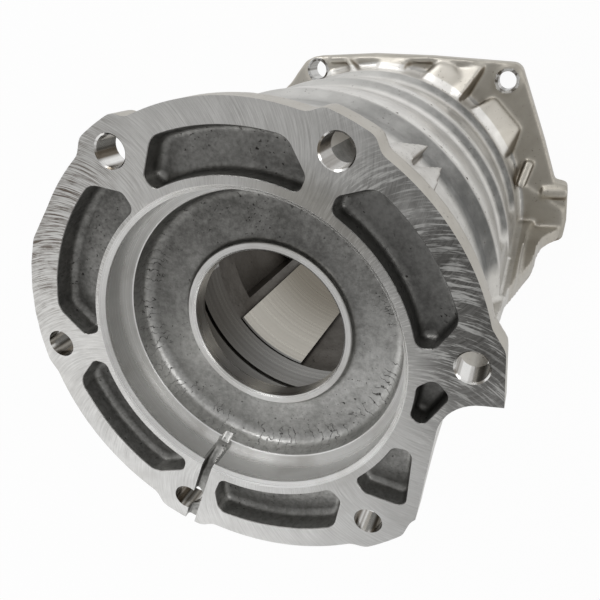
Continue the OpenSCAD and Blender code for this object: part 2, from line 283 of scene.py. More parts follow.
# Section of one rib: distance behind its crest and drop below it
RIB = ((-11, 3.4), (-9, 3.38), (-7.4, 3.2), (-6, 2.8), (-4.6, 2.15), (-3.2, 1.35), (-1.8, 0.6), (-0.8, 0.12),
       (0, 0), (0.8, 0.04), (1.6, 0.25), (2.6, 0.8), (3.6, 1.12), (4.6, 1.12), (5.8, 0.85), (7.4, 0.66),
       (9, 0.6), (12, 0.68), (15, 0.8), (18, 1.0), (21, 1.35), (24, 1.85), (27, 2.35), (30, 2.8), (33, 3.2))
RIB_COUNT = 3
# how far the painted shade on the front slope of each rib runs from its crest
SLOPE_LENGTHS = (19.0, 6.4, 6.4)


def crest_height(k):
    """Height of the crest of rib k, counted from the front."""
    return HEIGHT - RIB_FIRST - k * RIB_PITCH


def off_web(angle):
    """Degrees between an angle and the middle of the nearer web."""
    return np.abs((np.asarray(angle) + 90.0) % 180.0 - 90.0 + WEB_TURN)


def drum_radius(angle, z):
    """Radius of the drum: the rib's section repeated at equal pitch, a cove that rises with the cube of
    height behind the round flange, and valleys that are filled up beside the parting webs."""
    z = np.asarray(z, float)
    radius = np.full(np.broadcast(angle, z).shape, COVE_R, float)
    section = np.array(RIB)
    for k in range(RIB_COUNT):
        behind = crest_height(k) - z
        inside = (behind > -11) & (behind < 33.8)
        drop = np.interp(behind, section[:, 0], section[:, 1])
        radius = np.where(inside, RIB_R - drop, radius)
    up = np.clip((z - (BACK_Z - 12)) / 12.0, 0, 1)
    radius = radius + 5.5 * up ** 3
    ease = np.clip((HEIGHT - RIB_FIRST + 20 - z) / 14.0, 0, 1)
    radius = np.maximum(radius, COVE_R + 0.6 * ease)
    near = np.clip((13.0 - off_web(angle)) / 2.4, 0, 1)
    near = near * near * (3 - 2 * near)
    low = np.clip((HEIGHT - RIB_FIRST + 4 - z) / 6.0, 0, 1)
    flat = np.maximum(radius, RIB_R - 0.6)
    return radius + (flat - radius) * near * low


def drum():
    """Closed drum: radius as a function of angle and height on a grid, flared at its foot, with flat lids."""
    rows = np.concatenate([np.arange(3.0, 16.0, 1.0), np.arange(16.0, 174.1, 0.9)])
    t = np.linspace(0, 360, 540, endpoint=False)
    loops = []
    for z in rows:
        radius = drum_radius(t, z)
        radius = radius + 4.2 * np.clip((17.0 - z) / 7.0, 0, 1) ** 2
        loops.append(np.c_[radius * np.cos(np.radians(t)), radius * np.sin(np.radians(t))])
    return stack(loops, rows)


def bump(a, b, c, d, radius):
    """Raised stretch of the rim: feet at angles a and d, outer face from b to c."""

    def foot(t):
        """Radius of the rim at an angle."""
        return FLANGE_R + RIM_X * np.cos(np.radians(t)) + RIM_Y * np.sin(np.radians(t)) - 0.05

    corners = [(*polar(a - 6, foot(a - 6)), 0), (*polar(a, foot(a)), 6), (*polar(b, radius), 4.5)]
    corners += [(*polar(t, radius), 0) for t in np.linspace(b, c, 6)[1:-1]]
    corners += [(*polar(c, radius), 4.5), (*polar(d, foot(d)), 6), (*polar(d + 6, foot(d + 6)), 0)]
    corners += [(*polar(d, BUMP_ROOT_R), 0), (*polar(a, BUMP_ROOT_R), 0)]
    return rounded(corners)


# Outlines: the rim's bumps (four angles, radius), the ear and its cut, the rear flange, the webs' two plates
BUMPS = ((52, 54.6, 65.8, 68.6, 82), (111, 113, 123.6, 127.2, 81.6), (142, 154, 187.6, 191.5, 80.8),
         (234.6, 237.8, 249.4, 252.6, 83), (293, 296.4, 307.4, 311.6, 82.7))
EAR = ((60, -18.8), (82.2, -18.8), (82.2, 7, 5), (77.4, 15.4, 10), (60, 40))
EAR_CUT = ((110, -10.8), (64.4, -11.2, 14), (54.4, -60.2), (110, -95))
EAR_CUT_DEPTH = 34
REAR_OUTLINE = ((-45.6, 69.6, 4), (-36, 80, 4), (-30.5, 82, 4), (0, 81.6), (30, 79), (73.4, 73.6, 6),
                (86.2, 36.4), (92.2, 16.6, 2), (98.6, 15, 3), (99, -3), (97.6, -13.2, 3), (89.4, -16, 4),
                (84.8, -22.4, 5), (83, -34, 8), (58, -71, 9), (-58, -76, 9), (-86, -34, 9), (-90, 12, 9),
                (-78, 44, 9))
WEB_LOW = ((60, 8), (96, 8), (95, 16), (91, 23), (88, 31), (86.4, 40), (85.7, 50), (85.4, 60), (84.3, 68.4),
           (81.7, 81), (79.4, 92.5), (77.1, 102), (75.7, 108.5), (75.1, 114), (75, 171), (60, 171))
WEB_HIGH = ((60, 8), (84, 8), (81.4, 20), (80.6, 34), (80, 60), (80, 85.5), (79.4, 98.6), (77.8, 107),
            (77.2, 116), (76.6, 124.3), (76, 150), (76.6, 171), (60, 171))


def web(points, high_y, low_y, side):
    """Web plate in the plane of x and z, between two values of y, on one side of the drum."""
    part = prism(np.array(points, float), 0, high_y - low_y)
    matrix = np.array([[side, 0, 0, 0], [0, 0, -side, side * high_y], [0, 1, 0, 0]], float)
    return placed(part, matrix)


def rib(start, end, high, low, width):
    """Thin rib standing on the rear flange; its top falls from high to low."""
    length = float(np.hypot(end[0] - start[0], end[1] - start[1]))
    outline = np.array([[0, 0], [length, 0], [length, low], [0, high]], float)
    part = prism(outline, -width / 2, width / 2)
    vertices, faces = upright(part, start, end)
    return vertices + np.array([0, 0, REAR_T - 1]), faces


def hull(points):
    """Smallest convex solid round a few points: every triangle with all other points behind it.
    A hair of random offset keeps any four points out of one plane."""
    p = np.array(points, float)
    p += np.random.default_rng(3).uniform(-0.01, 0.01, p.shape)
    faces = []
    for i, j, k in combinations(range(len(p)), 3):
        normal = np.cross(p[j] - p[i], p[k] - p[i])
        side = (p - p[i]) @ normal
        side[[i, j, k]] = 0
        if side.max() <= 0:
            faces.append([i, j, k])
        elif side.min() >= 0:
            faces.append([i, k, j])
    return solid(p, faces)


def fin(rim, tip, depth):
    """Wedge behind the round flange: the hull of points (angle, radius) on its rim and a tip on the drum."""
    crest = [(*polar(a, r), BACK_Z + 1) for a, r in rim]
    root = [(*polar(a, FIN_ROOT_R), BACK_Z + 1) for a, r in (rim[0], rim[-1])]
    end = [(*polar(*tip), BACK_Z - depth), (*polar(tip[0], FIN_ROOT_R), BACK_Z - depth - 8)]
    return hull(crest + root + end)


def cast_solids():
    """The solids that overlap to make the cast body, with stock on both end faces."""
    over = HEIGHT + STOCK
    t = np.linspace(0, TAU, 360, endpoint=False)
    rim = np.c_[RIM_X + FLANGE_R * np.cos(t), RIM_Y + FLANGE_R * np.sin(t)]
    parts = [drum(), prism(rim, BACK_Z, over), prism(rounded(EAR), BACK_Z, over)]
    parts += [prism(bump(*b), BACK_Z, over) for b in BUMPS]
    parts += [prism(rounded(REAR_OUTLINE), -STOCK, REAR_T)]
    lip = ((-22, 78.6), (30, 76.2), (52, 73.6), (52, 76.1), (30, 78.8), (-22, 81.5))
    parts += [prism(np.array(lip, float), REAR_T - 1, REAR_T + 2)]
    lug = ((70, 19), (74.4, 17.4), (94.6, 4.4, 2), (97, 2, 2), (97.8, -9, 1.5), (80, -8, 3), (70, -12))
    parts += [prism(rounded(lug), REAR_T - 4, REAR_T + 1.4)]
    lying = np.array([[0, 0, 1, 86], [1, 0, 0, 11.6], [0, 1, 0, REAR_T - 0.6]], float)
    parts += [placed(cylinder(0, 0, 3.6, 0, 12.6), lying)]
    parts += [cylinder(x, y, 6.4, 2, REAR_T + 1.2) for x, y in REAR_HOLES]
    for side in (1, -1):
        parts += [web(WEB_LOW, -6, -12, side), web(WEB_HIGH, -3, -7, side)]
    parts += [fin(((60, 76), (53, 78), (47.4, 78), (46.8, 72)), (47.2, 76.4), 40)]
    parts += [fin(((49, 76), (47.6, 77.5), (43.5, 78), (38.6, 77.4), (37.6, 72)), (41.3, 77.2), 30)]
    parts += [rib((-6, 74), (-13.5, 80.4), 12, 3, 2.6), rib((-6, 70), (-24, 73.8), 10, 2, 2.6),
              rib((75.6, 16), (79.8, 27.6), 10, 4, 4)]
    parts += [hull(points) for points in REAR_HUMPS]
    return parts


# Raised places of the rear flange: gusset, shoulder by the upper right corner, two humps under the upper lip
REAR_HUMPS = (
    ((55.8, 73.6, 12.5), (44, 57.5, 27), (42, 75.8, 9), (38, 60, 12), (58, 73.4, 8), (47.4, 57.6, 9),
     (42, 57, 8)),
    ((45, 52, 23), (54, 44, 25), (66, 30, 22), (56.9, 51.8, 16), (61.6, 58.3, 12.6), (74.1, 43.7, 12.4),
     (70.4, 33, 14), (50, 50, 6), (62.6, 59.4, 7), (75.6, 43.4, 7), (71.6, 31.4, 7)),
    ((2, 73, 15), (5, 77.6, 13.5), (20.4, 78.8, 12.6), (15, 75, 14.5), (14, 71, 16), (1, 70, 8), (4, 78.6, 8),
     (22, 79, 8), (19, 70, 8)),
    ((28, 70.6, 18), (35, 75.8, 15), (41, 74.2, 14.5), (45, 69.4, 17), (44, 60, 22), (32, 64, 22),
     (25, 70, 8), (34.4, 77, 8), (42.4, 75.2, 8), (47, 69, 8), (45, 58, 8)),
)


# The machining and the cast hollows

# Inner and outer radius of the pockets, then each one's corners: angle, distance from the axis, radius
RI, RO = 56.8, 70.8
POCKETS = (
    ((113.1, RI, 2.6), (64.8, RI, 2.6), (64.6, 62.4, 3), (71.6, RO, 5.8), (106.8, RO, 5.8), (114.4, 61.4, 3)),
    ((54.4, RI, 2.6), (6.2, RI, 2.6), (5.8, 62.4, 3), (12.2, RO, 5.8), (48.8, RO, 5.8), (55.2, 61.9, 3)),
    ((177.6, RI - 1.4, 2.6), (124.1, RI - 1.4, 2.6), (123.4, 61.5, 3), (130.2, RO - 0.4, 5.8),
     (171.6, RO - 0.4, 5.8), (179.4, 61.2, 3)),
    ((237.6, RI - 0.5, 2.6), (190.4, RI - 0.5, 2.6), (188.8, 61, 3), (194.8, RO, 5.8), (231, RO, 5.8),
     (238.4, 61.4, 3)),
    ((296.4, RI, 2.6), (252.5, RI, 2.6), (251.4, 64, 4), (253.6, RO + 1.1, 4), (290.6, RO + 1.1, 5.8),
     (297.6, 62.2, 3)),
    ((328, RI, 2.6), (307.6, RI, 2.6), (306.8, 62.4, 3), (313.8, 74.4, 3), (330.6, 62.6, 3)),
    ((352.8, RI, 2.6), (341.8, RI, 2.6), (340, 61.4, 2.6), (351.8, 67.2, 2.8), (356.6, 62, 3)),
)
POCKET_DEPTH = 7.6
POCKET_FILLETS = (2.6, 2.6, 2.6, 2.6, 2.6, 2.4, 2.0)
POCKET_LEAN = 0.3
# Remeshing of the floors, in metres but for the pitch: how far off its height a point may still belong to a
# floor, distance within which vertices are merged, pitch of the net, longest edge that each round leaves whole
FLAT = 3e-6
MERGE = 3e-5
NET_PITCH = 4.0
EDGE_LIMITS = (0.008, 0.004, 0.003, 0.003)


def pocket(corners, fillet):
    """Cast pocket: leaning walls, a round along the floor and a small round at the mouth."""
    base = along_arcs(corners)
    layers = []
    for t in np.radians(np.linspace(0, 90, 8)):
        layers.append((-POCKET_DEPTH + fillet * (1 - np.cos(t)), POCKET_LEAN + fillet * (1 - np.sin(t))))
    layers.append((-0.25, 0.0))
    layers.append((0.05, -0.22))
    layers.append((4.0, -0.22))
    loops = [rounded(moved_in(base, inset), fixed=5) for _, inset in layers]
    return stack(loops, [HEIGHT + z for z, _ in layers])


PILOT_R, MOUTH_R, SHELF_R = 52.5, 54.0, 50.0
PILOT_DEPTH, DISH_DEPTH, HUB_DEPTH, HUB_LENGTH = 13.0, 21.2, 18.3, 7.0
RING_R, HUB_R = 30.8, 27.9
BORE_R, LAND_R, WALL_R, CHAMBER_R = 48.5, 50.0, 52.0, 66.0
GROOVE_DEPTH, GROOVE_W, GROOVE_CUT, BORE_END, RELIEF_W = 55.0, 2.2, 2.0, 74.3, 3.2
REAR_BORE_R, REAR_BORE_L, CHAMBER_START = 59.0, 8.0, 94.5
# middles and half widths in degrees
CHAMBER_ANGLES, CHAMBER_HALF = (180, 60, -60), 27
LAND_ANGLES, LAND_HALF = (232, 352, 112), 20


def recess_profile():
    """Half section of the recess and the hub hole, from the axis outwards and back."""
    z = HEIGHT
    fillet = 4.0
    t = np.radians(np.linspace(0, 90, 9))
    edge = SHELF_R - 0.8 - fillet
    corner = np.c_[edge + fillet * np.cos(t), z - DISH_DEPTH + fillet - fillet * np.sin(t)]
    t = np.radians(np.linspace(0, 90, 6))
    foot = np.c_[RING_R + 2.2 - 2.0 * np.sin(t), z - DISH_DEPTH + 2.0 - 2.0 * np.cos(t)]
    points = [(0, z + 6), (MOUTH_R + 0.05, z + 6), (MOUTH_R + 0.05, z - 0.02), (PILOT_R, z - 1.5),
              (PILOT_R, z - PILOT_DEPTH), (SHELF_R, z - PILOT_DEPTH),
              (SHELF_R - 0.35, z - PILOT_DEPTH - 0.35)]
    points += corner.tolist() + foot.tolist()
    hub = z - HUB_DEPTH
    points += [(RING_R, hub - 0.35), (RING_R - 0.35, hub), (HUB_R + 0.6, hub), (HUB_R, hub - 0.6),
               (HUB_R, hub - HUB_LENGTH - 2), (0, hub - HUB_LENGTH - 2)]
    return points[::-1]


def bore_profile():
    """Half section of the main bore, its grooves, the inner wall and the spigot bore at the rear."""
    z = HEIGHT
    top = z - HUB_DEPTH - HUB_LENGTH
    points = [(0, top), (HUB_R, top), (BORE_R - 6, z - DISH_DEPTH - 8), (BORE_R, z - DISH_DEPTH - 14),
              (BORE_R, z - GROOVE_DEPTH), (BORE_R + GROOVE_CUT, z - GROOVE_DEPTH),
              (BORE_R + GROOVE_CUT, z - GROOVE_DEPTH - GROOVE_W), (BORE_R, z - GROOVE_DEPTH - GROOVE_W),
              (BORE_R, z - BORE_END), (WALL_R + 0.6, z - BORE_END), (WALL_R + 0.6, z - BORE_END - RELIEF_W),
              (WALL_R, z - BORE_END - RELIEF_W), (WALL_R, REAR_BORE_L + 6), (WALL_R + 3, REAR_BORE_L),
              (REAR_BORE_R, REAR_BORE_L), (REAR_BORE_R, -6), (0, -6)]
    return points[::-1]


def land(angle):
    """Raised land of the inner wall."""
    low, high = REAR_BORE_L + 12, HEIGHT - BORE_END - RELIEF_W
    profile = [(LAND_R, low), (WALL_R + 1.5, low), (WALL_R + 1.5, high), (LAND_R, high)]
    return turned(profile, angle - LAND_HALF, angle + LAND_HALF)


def chamber(angle):
    """Long chamber between two lands, open at the rear."""
    top = HEIGHT - CHAMBER_START
    profile = [(WALL_R - 3, REAR_BORE_L - 1), (REAR_BORE_R - 1, REAR_BORE_L - 1),
               (CHAMBER_R, REAR_BORE_L + 2), (CHAMBER_R, top - 5), (CHAMBER_R - 1.5, top - 1.5),
               (CHAMBER_R - 5, top), (WALL_R - 3, top)]
    return turned(profile, angle - CHAMBER_HALF, angle + CHAMBER_HALF)


def drain_slot():
    """Slot from the dish up the pilot wall and across the rim: U-shaped sections lofted along its length."""
    floor_line = ((44, -19.6), (46.5, -18.6), (49, -16.8), (51, -14.4), (53, -10.6), (55.4, -6.2),
                  (57.6, -3.8), (61, -3.1), (90, -2.7))
    loops = []
    for distance, low in floor_line:
        corner = 1.5 if distance < 58 else 0.9
        t = np.radians(np.linspace(0, 90, 5))
        left = np.c_[-SLOT_HALF + corner * (1 - np.cos(t)), low + corner * (1 - np.sin(t))]
        right = left[::-1] * (-1, 1)
        loops.append(np.vstack([[[-SLOT_HALF, 1.0]], left, right, [[SLOT_HALF, 1.0]]]))
    part = stack(loops, [distance for distance, low in floor_line])
    d = polar(SLOT_ANGLE, 1.0)
    matrix = np.array([[-d[1], 0, d[0], 0], [d[0], 0, d[1], 0], [0, 1, 0, HEIGHT]], float)
    return placed(part, matrix)


def pits():
    """Casting pits in broken rows a few millimetres behind each crest: small double cones set in the skin,
    their sizes and places drawn in order from one seed."""
    rng = np.random.default_rng(11)
    parts = []
    for k in range(RIB_COUNT):
        angle = rng.uniform(0, 4)
        while angle < 356:
            size = rng.uniform(0.4, 0.8)
            z = crest_height(k) - PIT_ROW + rng.uniform(-0.9, 0.9)
            x, y = polar(angle, drum_radius(angle, z) - 0.1)
            t = np.linspace(0, TAU, 7, endpoint=False)
            ring = size * np.c_[np.cos(t), np.sin(t)]
            middle = np.array([x, y])
            end = middle + 0.3 * ring
            parts.append(stack([end, middle + ring, end], [z - size, z, z + size]))
            angle += rng.uniform(0.9, 1.9) if rng.random() < 0.85 else rng.uniform(3, 10)
    return parts


def refine_floors(mesh):
    """Pocket floors meshed anew with short edges, so values kept at vertices change evenly over them."""
    level = (HEIGHT - POCKET_DEPTH) * MM
    b = bmesh.new()
    b.from_mesh(mesh)

    def on_floor(face):
        """True where every corner lies at the height of the floors."""
        return all(abs(v.co.z - level) < FLAT for v in face.verts)

    near = [v for v in b.verts if abs(v.co.z - level) < FLAT]
    bmesh.ops.remove_doubles(b, verts=near, dist=MERGE)
    bmesh.ops.dissolve_faces(b, faces=[f for f in b.faces if on_floor(f)])
    # cut along a square net first, because one large outline would be split into folded slivers
    floors = [f for f in b.faces if on_floor(f)]
    cut = floors + list(dict.fromkeys(e for f in floors for e in f.edges))
    cut += list(dict.fromkeys(v for f in floors for v in f.verts))
    for normal in ((1, 0, 0), (0, 1, 0)):
        for offset in np.arange(-78.0, 79.0, NET_PITCH) * MM:
            cut = bmesh.ops.bisect_plane(b, geom=cut, dist=1e-6, plane_co=Vector(normal) * offset,
                                         plane_no=normal)["geom"]
    for limit in EDGE_LIMITS:
        bmesh.ops.triangulate(b, faces=[f for f in b.faces if len(f.verts) > 3 and on_floor(f)])
        inner = [e for e in b.edges if e.link_faces and all(map(on_floor, e.link_faces))]
        bmesh.ops.subdivide_edges(b, edges=[e for e in inner if e.calc_length() > limit], cuts=1)
    bmesh.ops.triangulate(b, faces=[f for f in b.faces if len(f.verts) > 3 and on_floor(f)])
    b.to_mesh(mesh)
    b.free()


def build_casting():
    """The casting: the body's skin, softened, more so on the rear flange and the fins, then machined."""
    body = make_object("casting", cast_solids())
    remesh = body.modifiers.new("skin", "REMESH")
    remesh.mode = "VOXEL"
    remesh.voxel_size = VOXEL * MM
    remesh.adaptivity = 0.0
    soften(body, 4)
    applied(body)
    x, y, z = positions(body.data).T / MM
    r = np.hypot(x, y)
    rear = (z > 3) & (z < 34) & (r > 73.5)
    fins = (z > 118) & (z < 166) & (r > 71.8) & (np.abs(np.degrees(np.arctan2(y, x)) - 46) < 16)
    soften(body, 14, rear, "rear")
    soften(body, 8, fins, "fins")
    thin = body.modifiers.new("thin", "DECIMATE")
    thin.ratio = THIN_RATIO
    applied(body)
    slab = np.array([[-130, -130], [130, -130], [130, 130], [-130, 130]], float)
    bolts = [polar(a, BOLT_R) for a in BOLT_ANGLES]
    chamfered = [polar(a, BOLT_R) for a in CHAMFERED_ANGLES]
    combine(body, [prism(slab, HEIGHT, HEIGHT + 20), prism(slab, -20, 0)])
    combine(body, [prism(rounded(EAR_CUT), HEIGHT - EAR_CUT_DEPTH, HEIGHT + 5)])
    combine(body, pits())
    combine(body, [turned(recess_profile())])
    combine(body, [turned(bore_profile())])
    combine(body, [chamber(a) for a in CHAMBER_ANGLES])
    combine(body, [land(a) for a in LAND_ANGLES], "UNION")
    for parts in (
            [pocket(*both) for both in zip(POCKETS, POCKET_FILLETS)],
            [cylinder(*at, HOLE_R, BACK_Z - 2, HEIGHT + 2) for at in bolts],
            [cylinder(*at, HEAD_R, BACK_Z - HEAD_L, BACK_Z) for at in bolts],
            [cylinder(*at, HOLE_R - 0.1, HEIGHT - 0.6, HEIGHT + 0.4, HOLE_R + 0.9) for at in chamfered],
            [drain_slot()],
            [cylinder(*at, REAR_HOLE_R, -2, REAR_T + 5) for at in REAR_HOLES],
            [cylinder(*at, REAR_HOLE_R + 1.3, REAR_T + 0.8, REAR_T + 5) for at in REAR_HOLES]):
        combine(body, parts)
    return body


casting = build_casting()
mesh = casting.data
refine_floors(mesh)
mesh.polygons.foreach_set("use_smooth", np.ones(len(mesh.polygons), bool))
mesh.set_sharp_from_angle(angle=SHARP_ANGLE)


# Which surface is which: cast outside, milled, turned, cast inside, drilled

OUTSIDE, MILLED, TURNED, INSIDE, DRILLED = range(5)


def in_outline(points, outline):
    """True for the points inside a closed outline: an upward ray crosses it an odd number of times."""
    odd = np.zeros(len(points), bool)
    for a, b in zip(outline, np.roll(outline, -1, 0)):
        if abs(b[0] - a[0]) < 1e-9:
            continue
        spans = (points[:, 0] >= min(a[0], b[0])) & (points[:, 0] < max(a[0], b[0]))
        height = a[1] + (points[:, 0] - a[0]) * (b[1] - a[1]) / (b[0] - a[0])
        odd ^= spans & (height > points[:, 1])
    return odd


def find_zones():
    """Zone number of every face, from where its middle lies and which way it faces."""
    count = len(mesh.polygons)
    middle = np.empty(count * 3)
    normal = np.empty(count * 3)
    mesh.polygons.foreach_get("center", middle)
    mesh.polygons.foreach_get("normal", normal)
    x, y, z = (middle.reshape(-1, 3) / MM).T
    up = normal.reshape(-1, 3)[:, 2]
    r = np.hypot(x, y)
    flat = np.c_[x, y]
    zone = np.full(count, OUTSIDE)
    # the inside of the bore
    dish_back = HEIGHT - DISH_DEPTH - 0.3
    core = (r < CHAMBER_R + 0.4) & (z < dish_back)
    zone[core] = INSIDE
    main_bore = (z > HEIGHT - BORE_END - RELIEF_W - 0.1) & (z < HEIGHT - DISH_DEPTH - 13.9) & (r > 45)
    zone[core & main_bore] = TURNED
    zone[core & (z < REAR_BORE_L + 0.1) & (r < REAR_BORE_R + 0.1)] = TURNED
    zone[core & (np.abs(r - LAND_R) < 0.3)] = TURNED
    # the recess
    recess = (r < MOUTH_R + 0.2) & (z >= dish_back) | (r < HUB_R + 1.1) & (z > HEIGHT - 30)
    zone[recess] = INSIDE
    zone[recess & (z > HEIGHT - PILOT_DEPTH - 0.4) & (r > SHELF_R - 0.4)] = TURNED
    zone[recess & (r < RING_R + 0.1) & (z > HEIGHT - HUB_DEPTH - 0.4)] = TURNED
    zone[recess & (r < HUB_R + 0.7)] = TURNED
    # pockets and slot
    for corners in POCKETS:
        outline = rounded(moved_in(along_arcs(corners), -0.3), 15.0)
        zone[in_outline(flat, outline) & (z > HEIGHT - POCKET_DEPTH - 1)] = INSIDE
    d = polar(SLOT_ANGLE, 1.0)
    along = flat @ d
    across = np.abs(x * d[1] - y * d[0])
    slot = (across < SLOT_HALF + 0.15) & (along > 47.5) & (along < 90)
    zone[slot & (z > HEIGHT - PILOT_DEPTH - 0.6)] = INSIDE
    # holes
    for angle in BOLT_ANGLES:
        a = flat - polar(angle, BOLT_R)
        off = np.hypot(a[:, 0], a[:, 1])
        reach = HOLE_R + (1.1 if angle in CHAMFERED_ANGLES else 0.1)
        zone[(off < reach) & (z > BACK_Z - 0.2)] = DRILLED
    for at in REAR_HOLES:
        off = np.hypot(x - at[0], y - at[1])
        zone[(off < REAR_HOLE_R + 1.4) & (z < REAR_T + 4)] = DRILLED
    # the two machined end faces
    zone[(z > HEIGHT - 0.03) & (up > 0.99)] = MILLED
    zone[(z < 0.03) & (up < -0.99)] = MILLED
    return zone


def find_hollows(rays=20, reach=0.014, lift=0.0004):
    """How shut in each vertex is, 0 to 1: the share of rays over its half space that hit metal within reach.
    It masks painted shade in corners.
    Ray k leaves at elevation asin(1 - (k + 0.5) / rays) and turns by the golden angle."""
    faces = [p.vertices for p in mesh.polygons]
    tree = bvhtree.BVHTree.FromPolygons([v.co for v in mesh.vertices], faces)
    k = np.arange(rays)
    rise = 1 - (k + 0.5) / rays
    turn = k * GOLDEN_ANGLE
    flat = np.sqrt(1 - rise ** 2)
    local = np.c_[flat * np.cos(turn), flat * np.sin(turn), rise]
    weight = rise / rise.sum()
    hollow = np.zeros(len(mesh.vertices))
    for i, vertex in enumerate(mesh.vertices):
        n = np.array(vertex.normal)
        side = np.array([n[2], 0.0, -n[0]]) if abs(n[0]) + abs(n[2]) > 0.2 else np.array([1.0, 0.0, 0.0])
        side /= np.linalg.norm(side)
        axes = np.array([side, np.cross(n, side), n])
        start = vertex.co + vertex.normal * lift
        for direction, share in zip(local @ axes, weight):
            hit = tree.ray_cast(start, direction, reach)
            if hit[3] is not None:
                hollow[i] += share * (1 - hit[3] / reach)
    return hollow


def find_slopes():
    """How far each vertex lies on the front slope of a rib, 0 to 1, from its height below the crest: the mask
    of the painted shade on the slopes. The flat of the rear flange counts as most of a slope, so it gets that
    painted shade too."""
    x, y, z = positions(mesh).T / MM
    r = np.hypot(x, y)
    slope = np.zeros(len(x))
    for k, length in enumerate(SLOPE_LENGTHS):
        before = z - crest_height(k)
        end = np.clip((length - before) / (length / 3), 0, 1)
        slope = np.maximum(slope, np.clip(before / 1.4, 0, 1) * end)
    slope *= (r > 68) & (r < 77) & (z > 22)
    slope *= np.clip((off_web(np.degrees(np.arctan2(y, x))) - 12.0) / 4.0, 0, 1)
    flat = (z > REAR_T - 0.6) & (z < REAR_T + 2.2) & (r > 76)
    return np.maximum(slope, 0.7 * flat)


def find_shade_and_pits():
    """Brown, 0 to 1: painted shade on the clockwise sides of the fins and the rear flange, and brown in the
    pits.
    """
    x, y, z = positions(mesh).T / MM
    r = np.hypot(x, y)
    normal = np.array([v.normal for v in mesh.vertices])
    clockwise = (normal[:, 0] * y - normal[:, 1] * x) / r
    angle = np.degrees(np.arctan2(y, x))
    rear = (z > 6) & (z < 34) & (r > 73)
    fins = (z > 120) & (z < 168) & (r > 71.5) & (np.abs(angle - 43) < 8)
    shade_and_pits = np.clip((clockwise - 0.3) / 0.4, 0, 1) * (rear | fins) * ((angle > -20) & (angle < 140))
    for k in range(RIB_COUNT):
        off_row = np.abs(z - crest_height(k) + PIT_ROW)
        shade_and_pits = np.maximum(shade_and_pits, (off_row < 2) & (drum_radius(angle, z) - r > 0.14) & (r > 70))
    return shade_and_pits


zone = find_zones()
for name, values in (("hollow", find_hollows()), ("slope", find_slopes()), ("shade_and_pits", find_shade_and_pits())):
    attribute = mesh.attributes.new(name, "FLOAT", "POINT")
    attribute.data.foreach_set("value", values)


# Shader helpers, in metres and radians

CUTTER_R = 0.031
PATH_R = 0.066
DISH_FILLET_R = 0.0462
# Angles round the axis of the marks seen on the part
EAR_TURN = 0.34
STAIN_TURN = 2.55
BOLT_TURN = 1.0
SLOPE_TURN = 0.45
POCKET_TURN = 0.3


class Net:
    """Adds nodes to one tree. A value is a number, a colour of three numbers or another node's output."""

    def __init__(self, tree):
        self.tree = tree

    def put(self, socket, value):
        """Link an output to a socket, or set the socket to a plain value. A colour is made opaque."""
        if isinstance(value, bpy.types.NodeSocket):
            self.tree.links.new(value, socket)
        elif socket.type == "RGBA":
            socket.default_value = (*value[:3], 1.0)
        else:
            socket.default_value = value

    def node(self, kind, values=None, **settings):
        """New node of one kind, with its settings and the values of its inputs."""
        new = self.tree.nodes.new(kind)
        for key, value in settings.items():
            setattr(new, key, value)
        for key, value in (values or {}).items():
            self.put(new.inputs[key], value)
        return new

    def math(self, operation, *values):
        """Result of one arithmetic node."""
        new = self.node("ShaderNodeMath", operation=operation)
        for socket, value in zip(new.inputs, values):
            self.put(socket, value)
        return new.outputs[0]

    def plus(self, first, second):
        """Sum of two values."""
        return self.math("ADD", first, second)

    def minus(self, first, second):
        """First value less the second."""
        return self.math("SUBTRACT", first, second)

    def times(self, first, second):
        """Product of two values."""
        return self.math("MULTIPLY", first, second)

    def larger(self, first, second):
        """Larger of two values."""
        return self.math("MAXIMUM", first, second)

    def step(self, value, low, high, start=0.0, end=1.0):
        """Smooth change from start to end while value goes from low to high."""
        new = self.node("ShaderNodeMapRange", interpolation_type="SMOOTHSTEP")
        for socket, v in zip(new.inputs, (value, low, high, start, end)):
            self.put(socket, v)
        return new.outputs[0]

    def near(self, value, middle, inner, outer, start=1.0, end=0.0):
        """Smooth change from start near a middle value to end away from it, between two distances."""
        return self.step(self.math("ABSOLUTE", self.minus(value, middle)), inner, outer, start, end)

    def noise(self, vector, scale, detail=3.0, roughness=0.55):
        """Cloudy noise about 0.5, its lumps 1 / scale metres apart."""
        values = {"Vector": vector, "Scale": scale, "Detail": detail, "Roughness": roughness}
        return self.node("ShaderNodeTexNoise", values).outputs[0]

    def streaks(self, along, scale, detail, roughness):
        """The same noise along one value only."""
        values = {"W": along, "Scale": scale, "Detail": detail, "Roughness": roughness}
        return self.node("ShaderNodeTexNoise", values, noise_dimensions="1D").outputs[0]

    def blend(self, factor, first, second):
        """First colour at factor 0, second colour at factor 1."""
        return self.node("ShaderNodeMix", {0: factor, 6: first, 7: second}, data_type="RGBA").outputs[2]

    def vector(self, x, y, z=0.0):
        """Vector of three values."""
        return self.node("ShaderNodeCombineXYZ", {0: x, 1: y, 2: z}).outputs[0]

    def split(self, vector):
        """The three values of a vector."""
        return self.node("ShaderNodeSeparateXYZ", {0: vector}).outputs

    def around(self, vector):
        """Distance from the bore axis, sqrt(x² + y²), and angle round it, atan2(y, x)."""
        x, y, _ = self.split(vector)
        radius = self.math("SQRT", self.plus(self.times(x, x), self.times(y, y)))
        return radius, self.math("ARCTAN2", y, x)

    def bump(self, height, distance):
        """Normal tilted by a height field that is so many metres deep."""
        values = {"Height": height, "Distance": distance, "Strength": 1.0}
        return self.node("ShaderNodeBump", values).outputs[0]

    def kept(self, name):
        """Value kept at the vertices under a name."""
        return self.node("ShaderNodeAttribute", attribute_name=name).outputs["Fac"]

    def use(self, group, vector):
        """Outputs of a shader group fed with a vector."""
        return self.node("ShaderNodeGroup", {0: vector}, node_tree=group).outputs


def new_group(name):
    """Empty shader group with one vector input: its helper and that vector."""
    tree = bpy.data.node_groups.new(name, "ShaderNodeTree")
    tree.interface.new_socket("Vector", in_out="INPUT", socket_type="NodeSocketVector")
    return Net(tree), tree.nodes.new("NodeGroupInput").outputs[0]


